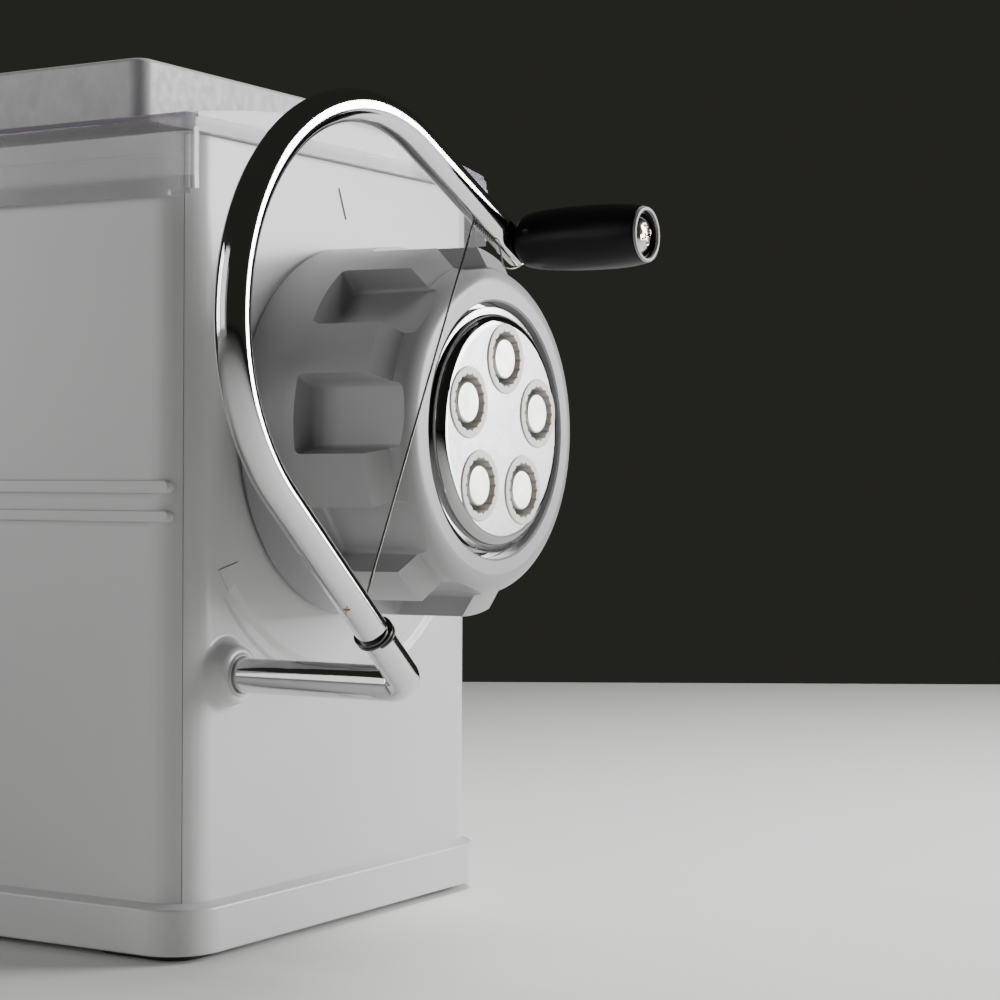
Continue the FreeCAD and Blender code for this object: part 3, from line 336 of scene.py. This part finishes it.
def rubber_paint():
    """Matt black rubber of the feet and the seal."""
    p = Paint("rubber_paint", (0.022, 0.022, 0.023), 0.72)
    p.tint(p.scaled(p.noise(5 * MM, 4), 0, 1), (0.034, 0.033, 0.032))
    p.roughness(p.scaled(p.noise(1.5 * MM, 3), 0.62, 0.82))
    p.bump(p.noise(0.35 * MM, 3), 0.03 * MM)
    return p.material


TRAY_FOOT_Z = 201.6 * MM
TRAY_BROW_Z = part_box("lid")[0].z - 2.2 * MM


def clear_paint():
    """Clear moulded plastic: thicker and greyer along the foot of the skirt, violet along its top."""
    p = Paint("clear_paint", (0.86, 0.855, 0.865), 0.08, IOR=1.49, Coat_Weight=0.3)
    first = p.tint(p.scaled(p.noise(30 * MM, 3), 0, 1), (0.89, 0.885, 0.892))
    split = p.node("SeparateXYZ")
    p.wire(p.where, split.inputs["Vector"])
    height = split.outputs["Z"]
    foot = p.scaled(height, 1, 0, TRAY_FOOT_Z - 0.3 * MM, TRAY_FOOT_Z + 0.3 * MM)
    brow = p.scaled(height, 0, 1, TRAY_BROW_Z - 1 * MM, TRAY_BROW_Z + 1 * MM)
    with_foot = p.tint(foot, (0.52, 0.52, 0.525), first)
    p.tint(brow, (0.34, 0.28, 0.37), with_foot)
    p.roughness(p.scaled(p.noise(9 * MM, 4), 0.05, 0.14))
    p.bump(p.noise(8 * MM, 2, 0.4), 0.015 * MM)
    clear = p.node("BsdfTransparent")
    clear.inputs["Color"].default_value = (0.972, 0.970, 0.975, 1)
    edge = p.node("LayerWeight")
    edge.inputs["Blend"].default_value = 0.35
    blend = p.node("MixShader")
    body = p.combine("ADD", p.scaled(edge.outputs["Facing"], 0.13, 0.7, 0.0, 1.0),
                     p.combine("MULTIPLY", p.combine("ADD", foot, brow), 0.22))
    p.wire(body, blend.inputs["Fac"])
    p.wire(clear.outputs["BSDF"], blend.inputs[1])
    p.wire(p.shader.outputs["BSDF"], blend.inputs[2])
    p.wire(blend.outputs["Shader"], p.tree.nodes["Material Output"].inputs["Surface"])
    return p.material


def frosted_paint():
    """Light grey lid plastic: fine matte grain with pale mottling."""
    colour = (0.39, 0.392, 0.404)
    p = Paint("lid_paint", colour, 0.4)
    cloud = p.noise(7 * MM, 6, 0.65)
    first = p.tint(p.scaled(cloud, 0, 1), (0.47, 0.472, 0.48))
    p.tint(p.scaled(p.noise(1.1 * MM, 3), 0, 0.6, 0.55, 0.75), (0.37, 0.372, 0.38), first)
    p.roughness(p.scaled(p.noise(3 * MM, 4), 0.34, 0.5))
    p.bump(p.noise(0.5 * MM, 3), 0.02 * MM)
    return p.material


def make_paints():
    """The record's material slots, and after rubber the finishes that only some pieces have."""
    grey = (0.60, 0.60, 0.602)
    steel = (0.62, 0.61, 0.59)
    return {
        "housing_plastic": moulded("housing_paint", grey, 0.27, 0.5 * MM, 0.005 * MM, 0.0, 0.025),
        "nut_plastic": moulded("nut_paint", (0.33, 0.33, 0.334), 0.29, 0.35 * MM, 0.012 * MM, 0.0, 0.04),
        "lid_plastic": frosted_paint(),
        "barrel_plastic": moulded("barrel_paint", (0.68, 0.68, 0.67), 0.36, 0.4 * MM, 0.02 * MM, 0.03 * MM),
        "clear_plastic": clear_paint(),
        "insert_plastic": moulded("insert_paint", (0.74, 0.735, 0.70), 0.3, 0.3 * MM, 0.01 * MM, 0.01 * MM,
                                  0.05, Subsurface_Weight=0.25, Subsurface_Scale=2 * MM),
        "gear_plastic": moulded("gear_paint", (0.72, 0.70, 0.64), 0.4, 0.3 * MM, 0.02 * MM, 0.03 * MM),
        "knob_plastic": moulded("knob_paint", (0.009, 0.009, 0.0095), 0.36, 0.4 * MM, 0.012 * MM, 0.01 * MM,
                                0.3, Specular_IOR_Level=0.22),
        "collar_plastic": moulded("collar_paint", (0.52, 0.52, 0.52), 0.3, 0.4 * MM, 0.01 * MM, 0.02 * MM),
        "bush_brass": turned_metal("brass_paint", (0.72, 0.56, 0.30), 0.25, CRANK_AXIS, 0.3 * MM, 0.006 * MM),
        "chrome": bright_metal("chrome_paint", (0.74, 0.745, 0.755), 0.055, 0.25 * MM, 0.006 * MM),
        "pin_steel": turned_metal("pin_paint", steel, 0.28, CRANK_AXIS, 0.25 * MM, 0.005 * MM, False),
        "wire_steel": bright_metal("wire_paint", (0.15, 0.145, 0.13), 0.24, 0.2 * MM),
        "shaft_steel": turned_metal("shaft_paint", steel, 0.24, CRANK_AXIS, 0.3 * MM, 0.006 * MM, False),
        "plate_steel": bright_metal("plate_paint", (0.56, 0.565, 0.57), 0.36, 0.4 * MM, 0.0, 1.6),
        "screw_steel": bright_metal("screw_paint", (0.63, 0.62, 0.60), 0.2, 0.3 * MM),
        "rubber": rubber_paint(),
        "dark_steel": bright_metal("dark_steel_paint", (0.075, 0.073, 0.068), 0.3, 0.2 * MM),
        "die_steel": die_paint(),
        "screw_bright": bright_metal("screw_bright_paint", (0.74, 0.67, 0.61), 0.11, 0.2 * MM),
        "wire_end": bright_metal("wire_end_paint", (0.42, 0.27, 0.17), 0.35, 0.2 * MM),
        "satin_ring": moulded("ring_paint", (0.29, 0.29, 0.295), 0.33, 0.3 * MM, 0.01 * MM),
    }


OWN_PAINT = {"die_plate": "die_steel"}


def paint_nodes(paints):
    """Gives every CAD node the procedural material of its slot, or its own."""
    for part in frame["record"]["subparts"]:
        for place in frame["nodes"][part["node"]].material_slots:
            place.material = paints[OWN_PAINT.get(part["node"], part["material_slot"])]


# ---- mesh helpers ------------------------------------------------------------------------------
def add_piece(name, vertices, faces, paint, body, *replaced):
    """Smooth-shaded mesh object that rides on a body and stands for any CAD nodes given."""
    mesh = bpy.data.meshes.new(name)
    mesh.from_pydata([tuple(v) for v in vertices], [], faces)
    mesh.polygons.foreach_set("use_smooth", [True] * len(mesh.polygons))
    mesh.materials.append(paint)
    mesh.update()
    piece = bpy.data.objects.new(name, mesh)
    bpy.context.collection.objects.link(piece)
    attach(piece, body)
    if replaced:
        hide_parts(*replaced)
    return piece


def sharpen(piece, degrees):
    """Marks edges sharper than an angle, so that they stay crisp under smooth shading."""
    made = bmesh.new()
    made.from_mesh(piece.data)
    bmesh.ops.recalc_face_normals(made, faces=made.faces)
    for edge in made.edges:
        if len(edge.link_faces) == 2 and edge.calc_face_angle() > math.radians(degrees):
            edge.smooth = False
    made.to_mesh(piece.data)
    made.free()


def at(x, s, z):
    """Point s millimetres in front of the panel, x and z in millimetres."""
    return Vector((x * MM, FRONT - s * MM, z * MM))


def smooth_line(points, steps):
    """Catmull-Rom curve through points, with a number of steps from each to the next."""
    line = [points[0]] + list(points) + [points[-1]]
    result = []
    for i in range(1, len(line) - 2):
        p0, p1, p2, p3 = line[i - 1:i + 3]
        for k in range(steps):
            t = k / steps
            result.append(0.5 * (2 * p1 + (p2 - p0) * t + (2 * p0 - 5 * p1 + 4 * p2 - p3) * t ** 2
                                 + (3 * p1 - p0 - 3 * p2 + p3) * t ** 3))
    return result + [points[-1]]


def sweep(path, radii, sides):
    """Closed tube along a path; radii holds one radius per path point."""
    vertices, faces, tangents = [], [], []
    last = len(path) - 1
    for i in range(len(path)):
        tangents.append((path[min(i + 1, last)] - path[max(i - 1, 0)]).normalized())
    side = tangents[0].orthogonal().normalized()
    for i, (point, tangent, radius) in enumerate(zip(path, tangents, radii)):
        side = (side - tangent * side.dot(tangent)).normalized()
        other = tangent.cross(side)
        for k in range(sides):
            a = 2 * math.pi * k / sides
            vertices.append(point + (side * math.cos(a) + other * math.sin(a)) * radius)
        if i:
            for k in range(sides):
                n = (k + 1) % sides
                faces.append(((i - 1) * sides + k, (i - 1) * sides + n, i * sides + n, i * sides + k))
    faces.append(tuple(reversed(range(sides))))
    faces.append(tuple(last * sides + k for k in range(sides)))
    return vertices, faces


def lathe(profile, centre, sides):
    """Revolves a closed outline of (radius, s) pairs, in millimetres, about the Y line through centre."""
    vertices, faces = [], []
    for k in range(sides):
        a = 2 * math.pi * k / sides
        for r, s in profile:
            vertices.append(Vector((centre.x + r * MM * math.cos(a), FRONT - s * MM,
                                    centre.z + r * MM * math.sin(a))))
    n = len(profile)
    for k in range(sides):
        m = (k + 1) % sides
        for i in range(n):
            j = (i + 1) % n
            faces.append((k * n + i, k * n + j, m * n + j, m * n + i))
    return vertices, faces


def merged(parts):
    """One vertex and face list from several."""
    vertices, faces = [], []
    for v, f in parts:
        start = len(vertices)
        vertices += v
        faces += [tuple(start + i for i in face) for face in f]
    return vertices, faces


# ---- crank: lengths in millimetres -------------------------------------------------------------
ARM_S = 57.5
ARM_R = 4.2
AXLE_R = 4.6
AXLE_INNER_S = -8.0
AXLE_OUTER_S = 48
BOW_CENTRE = Vector((-75.0, 160.3))
BOW_R = 53.8
ARM_END_Z = 186.4
ARM_END_PAST_KNOB = 1.8
ARM_END_ROUND = 1.6
ELBOW_R = 4.9
SEAT_S = 59.2
SEAT_REACH = 12
SEAT_BLEND = 3.5
HEX_HALF = 3.9
HEX_END_S = -30
CRANK_XZ = Vector((CRANK_AXIS.x, CRANK_AXIS.z)) / MM
KNOB_XZ = Vector((KNOB_AXIS.x / MM, ARM_END_Z))


def tangent_angle(point, turn):
    """Angle on the bow where the line from a point touches it."""
    gap = point - BOW_CENTRE
    return math.atan2(gap.y, gap.x) + turn * math.acos(BOW_R / gap.length)


def bow_point(angle):
    """Point on the bow's centre line."""
    return BOW_CENTRE + Vector((math.cos(angle), math.sin(angle))) * BOW_R


LOW_ANGLE = tangent_angle(CRANK_XZ, -1) % (2 * math.pi)
HIGH_ANGLE = tangent_angle(KNOB_XZ, 1) % (2 * math.pi)
RUN_UP = (bow_point(LOW_ANGLE) - CRANK_XZ).normalized()
RUN_DOWN = (KNOB_XZ - bow_point(HIGH_ANGLE)).normalized()


def on_run_up(distance, s=ARM_S):
    """Point on the first straight run, measured from the crank's axis."""
    p = CRANK_XZ + RUN_UP * distance
    return at(p.x, s, p.y)


def on_run_down(distance):
    """Point on the last straight run, measured back from the knob's line."""
    p = KNOB_XZ - RUN_DOWN * distance
    return at(p.x, ARM_S, p.y)


def arm_path():
    """Centre line and radii of the bent rod, from inside the panel to its end behind the knob."""
    path, radii = [], []

    def add(point, radius):
        path.append(point)
        radii.append(radius * MM)

    add(at(CRANK_XZ.x, AXLE_INNER_S - 0.4, CRANK_XZ.y), AXLE_R - 0.5)
    for s in (AXLE_INNER_S, 0, 20, 40, AXLE_OUTER_S):
        add(at(CRANK_XZ.x, s, CRANK_XZ.y), AXLE_R)
    steps = 14
    for k in range(steps + 1):
        a = math.pi / 2 * k / steps
        along = ELBOW_R * (1 - math.cos(a))
        s = ARM_S - ELBOW_R * (1 - math.sin(a))
        add(on_run_up(along, s), AXLE_R + (ARM_R - AXLE_R) * k / steps)
    low = bow_point(LOW_ANGLE)
    length = (low - CRANK_XZ).length
    steps = 12
    for k in range(1, steps):
        add(on_run_up(ELBOW_R + (length - ELBOW_R) * k / steps), ARM_R)
    steps = 72
    for k in range(steps + 1):
        p = bow_point(LOW_ANGLE + (HIGH_ANGLE - LOW_ANGLE) * k / steps)
        add(at(p.x, ARM_S, p.y), ARM_R)
    length = (KNOB_XZ - bow_point(HIGH_ANGLE)).length
    steps = 40
    for k in range(1, steps):
        add(on_run_down(length * (1 - k / steps)), ARM_R)
    steps = 8
    for k in range(steps + 1):
        a = math.pi / 2 * k / steps
        add(on_run_down(-ARM_END_PAST_KNOB - ARM_END_ROUND * math.sin(a)),
            ARM_R - ARM_END_ROUND * (1 - math.cos(a)))
    return path, radii


def crank_rod(paints):
    """The chromed rod: hexagonal drive end, axle, tight elbow, bow and a flat where the knob sits."""
    vertices, faces = sweep(*arm_path(), sides=64)
    seat_y = FRONT - SEAT_S * MM
    for v in vertices:
        off = Vector((v.x - KNOB_AXIS.x, v.z - KNOB_AXIS.z)).length / MM
        if v.y < seat_y and off < SEAT_REACH:
            blend = min((SEAT_REACH - off) / SEAT_BLEND, 1)
            v.y += (seat_y - v.y) * blend
    corner_r = HEX_HALF / math.cos(math.pi / 6)
    outline = [(0.01, AXLE_INNER_S), (3.0, AXLE_INNER_S), (corner_r, AXLE_INNER_S - 0.4),
               (corner_r, HEX_END_S + 0.8), (3.8, HEX_END_S), (0.01, HEX_END_S)]
    drive = lathe(outline, CRANK_AXIS, sides=6)
    rod = add_piece("crank_rod", *merged([(vertices, faces), drive]), paints["chrome"], "crank", "crank_arm")
    sharpen(rod, 38)


SPLIT_RING_AT = 19.6
SPLIT_RING_TURNS = 2.15
SPLIT_RING_PITCH = 1.22
SPLIT_RING_THICK = 0.82
SPLIT_RING_HALF = 0.42
SPLIT_RING_START = math.radians(-140)
ALONG_UP = Vector((RUN_UP.x, 0, RUN_UP.y))
INTO_BOW = Vector((RUN_UP.y, 0, -RUN_UP.x))


def arm_split_ring(paints):
    """Dark split ring sprung round the arm above the elbow: two flat turns with tapered ends."""
    steps, corners = 150, 6
    inner, half, chamfer = ARM_R + 0.04, SPLIT_RING_HALF, 0.15
    vertices, faces = [], []
    for i in range(steps + 1):
        t = i / steps
        a = SPLIT_RING_START + 2 * math.pi * SPLIT_RING_TURNS * t
        fade = min(1, 0.25 + min(t, 1 - t) * 14)
        radial = INTO_BOW * math.cos(a) + Vector((0, 1, 0)) * math.sin(a)
        middle = on_run_up(SPLIT_RING_AT) + ALONG_UP * (SPLIT_RING_PITCH * SPLIT_RING_TURNS * t * MM)
        outer = inner + SPLIT_RING_THICK * fade
        for along, r in ((-half, inner), (-half, outer - chamfer), (-half * 0.7, outer), (half * 0.7, outer),
                         (half, outer - chamfer), (half, inner)):
            vertices.append(middle + radial * r * MM + ALONG_UP * along * MM)
        if i:
            for k in range(corners):
                n = (k + 1) % corners
                faces.append(((i - 1) * corners + k, (i - 1) * corners + n, i * corners + n, i * corners + k))
    faces.append(tuple(reversed(range(corners))))
    faces.append(tuple(steps * corners + k for k in range(corners)))
    ring = add_piece("arm_split_ring", vertices, faces, paints["dark_steel"], "crank", "arm_ring")
    sharpen(ring, 35)


WIRE_R = 0.3
WIRE_LOW_AT = 29.5
WIRE_HIGH_AT = 22.3
TWIST_FROM = 21.5
TWIST_TO = 12.0
TWIST_TURNS = 4.5
TWIST_SPREAD = 0.32
WIRE_TAIL_AT = 35.5


def wire_twist(start, end):
    """Two strands of wire laid round each other along a line."""
    strands = []
    line = end - start
    axis = line.normalized()
    side = axis.orthogonal().normalized()
    other = axis.cross(side)
    steps = int(TWIST_TURNS * 14)
    for half_turn in (0, math.pi):
        path = []
        for i in range(steps + 1):
            t = i / steps
            a = half_turn + 2 * math.pi * TWIST_TURNS * t
            path.append(start + line * t + (side * math.cos(a) + other * math.sin(a)) * TWIST_SPREAD * MM)
        strands.append(sweep(path, [WIRE_R * 0.9 * MM] * len(path), sides=10))
    return strands


def cutting_wire(paints):
    """Taut wire across the bow. Its top end is twisted back along the rod and curls off behind the knob."""
    under = Vector((RUN_DOWN.y, 0, -RUN_DOWN.x))
    low = on_run_up(WIRE_LOW_AT) + INTO_BOW * (ARM_R - 0.6) * MM
    high = on_run_down(WIRE_HIGH_AT) + under * (ARM_R - 0.4) * MM
    steps = 20
    path = [low + (high - low) * (k / steps) for k in range(steps + 1)]
    parts = [sweep(path, [WIRE_R * MM] * len(path), sides=12)]
    clear_of_rod = under * (ARM_R + 0.35) * MM
    twist_end = on_run_down(TWIST_TO) + clear_of_rod + Vector((0, -0.6, 0)) * MM
    parts += wire_twist(on_run_down(TWIST_FROM) + clear_of_rod, twist_end)
    curl = [twist_end, twist_end + Vector((1.6, -0.8, -1.6)) * MM, at(-8.6, 57.0, 181.6),
            at(-5.3, 56.6, 180.9), at(-1.6, 56.8, 181.3), at(1.6, 57.4, 182.8)]
    line = smooth_line(curl, 10)
    parts.append(sweep(line, [WIRE_R * 0.85 * MM] * len(line), sides=10))
    wire = add_piece("cutting_wire", *merged(parts), paints["wire_steel"], "crank", "cutter_wire")


def wire_tail(paints):
    """Snipped lower end of the wire, a small cross on the outer side of the rod."""
    towards = (CAMERA_PLACE - on_run_up(WIRE_TAIL_AT)).normalized()
    facing = (towards - ALONG_UP * towards.dot(ALONG_UP)).normalized()
    out = (facing * 0.45 - INTO_BOW * 0.9).normalized()
    spot = on_run_up(WIRE_TAIL_AT) + out * (ARM_R - 0.02) * MM
    across = ALONG_UP.cross(out)
    parts = []
    for direction, half in ((ALONG_UP * 0.8 + across * 0.5, 1.2), (across - ALONG_UP * 0.4, 0.9)):
        line = direction.normalized() * half * MM
        parts.append(sweep([spot - line, spot + out * 0.25 * MM, spot + line], [0.16 * MM] * 3, sides=10))
    tail = add_piece("wire_tail", *merged(parts), paints["wire_end"], "crank")


# ---- knob: lengths in millimetres --------------------------------------------------------------
KNOB_BACK = 59.5
KNOB_TIP = 97.4
KNOB_BORE_R = 3.1
KNOB_SIDES = 128
RIM_DEPTH = 0.8
RECESS_R = 5.65
RECESS_DEPTH = 4.4
END_RING_INNER_R = 6.28
END_RING_R = 7.28
SCREW_R = 5.2
SCREW_DOME = 1.85
SCREW_TOP = KNOB_TIP - 0.06
SCREW_HEAD_BACK = KNOB_TIP - 4.0
SHANK_R = 2.0
RIVET_R = 3.2
RIVET_FROM = 52.6
RIVET_TO = 53.25
CROSS_DEPTH = 0.9
CROSS_HALF_WIDTH = 0.72
CROSS_REACH = 2.9
CROSS_TURN = math.radians(20)


def knob_handle(paints):
    """Black grip: narrow neck, smooth barrel shape and a recess for the screw's head."""
    barrel = ((7.05, 2.3), (7.45, 3.9), (7.9, 6.6), (8.3, 11.5), (8.55, 17.0), (8.6, 23.0), (8.5, 29.0),
              (8.2, 33.0), (7.65, 36.6))
    neck = ((KNOB_BORE_R, 0), (4.8, 0), (5.0, 0.2), (5.0, 1.2), (6.1, 1.25), (6.6, 1.45), (6.85, 1.8))
    barrel = [tuple(p) for p in smooth_line([Vector(p) for p in barrel], 5)]
    profile = [(r, KNOB_BACK + s) for r, s in list(neck) + barrel]
    rim = KNOB_TIP - RIM_DEPTH
    floor = KNOB_TIP - RECESS_DEPTH
    profile += [(7.5, rim - 0.05), (7.35, rim), (6.25, rim), (6.2, rim - 0.1), (6.2, rim - 0.7),
                (RECESS_R + 0.03, rim - 0.75), (RECESS_R, floor), (KNOB_BORE_R, floor)]
    shape = lathe(profile, KNOB_AXIS, KNOB_SIDES)
    handle = add_piece("knob_handle", *shape, paints["knob_plastic"], "knob", "knob_grip")
    sharpen(handle, 40)


def knob_ring(paints):
    """Pale satin ring let into the end of the grip."""
    outline = ((END_RING_INNER_R, 0.78), (END_RING_R - 0.08, 0.78), (END_RING_R, 0.7), (END_RING_R, 0.25),
               (END_RING_R - 0.08, 0.08), (END_RING_R - 0.23, 0), (END_RING_INNER_R + 0.2, 0),
               (END_RING_INNER_R + 0.06, 0.06), (END_RING_INNER_R, 0.2))
    shape = lathe([(r, KNOB_TIP - depth) for r, depth in outline], KNOB_AXIS, KNOB_SIDES)
    ring = add_piece("knob_ring", *shape, paints["satin_ring"], "knob", "knob_end_ring")
    sharpen(ring, 40)


def ramp(value):
    """Value held between 0 and 1."""
    return min(max(value, 0), 1)


def cross_recess(x, z):
    """Depth of the driver's cross at a place on the screw's head."""
    a = abs(x * math.cos(CROSS_TURN) + z * math.sin(CROSS_TURN))
    b = abs(z * math.cos(CROSS_TURN) - x * math.sin(CROSS_TURN))
    slots = [ramp((CROSS_HALF_WIDTH - short) / 0.25) * ramp((CROSS_REACH - long) / 1.1)
             for long, short in ((a, b), (b, a))]
    return CROSS_DEPTH * max(slots)


def knob_head(paints):
    """Cross-head screw through the spindle: a low polished dome close to the ring, and its shank."""
    axis_r = 0.02
    rings = 44
    dome_r = (SCREW_R * SCREW_R + SCREW_DOME * SCREW_DOME) / (2 * SCREW_DOME)
    radii = [axis_r + (SCREW_R - axis_r) * k / rings for k in range(rings + 1)]
    dome = [(r, SCREW_TOP - (dome_r - math.sqrt(dome_r * dome_r - r * r))) for r in radii]
    back = [(SCREW_R, SCREW_HEAD_BACK), (SHANK_R, SCREW_HEAD_BACK), (SHANK_R, RIVET_TO), (RIVET_R, RIVET_TO),
            (RIVET_R, RIVET_FROM), (axis_r, RIVET_FROM)]
    vertices, faces = lathe((dome + back)[::-1], KNOB_AXIS, KNOB_SIDES)
    for v in vertices:
        if FRONT - v.y >= (SCREW_TOP - SCREW_DOME - 0.01) * MM:
            v.y += cross_recess((v.x - KNOB_AXIS.x) / MM, (v.z - KNOB_AXIS.z) / MM) * MM
    head = add_piece("knob_head", vertices, faces, paints["screw_bright"], "crank", "knob_screw")
    sharpen(head, 40)


def main():
    make_camera()
    make_studio()
    make_floor()
    paints = make_paints()
    paint_nodes(paints)
    crank_rod(paints)
    arm_split_ring(paints)
    cutting_wire(paints)
    wire_tail(paints)
    knob_handle(paints)
    knob_ring(paints)
    knob_head(paints)


main()
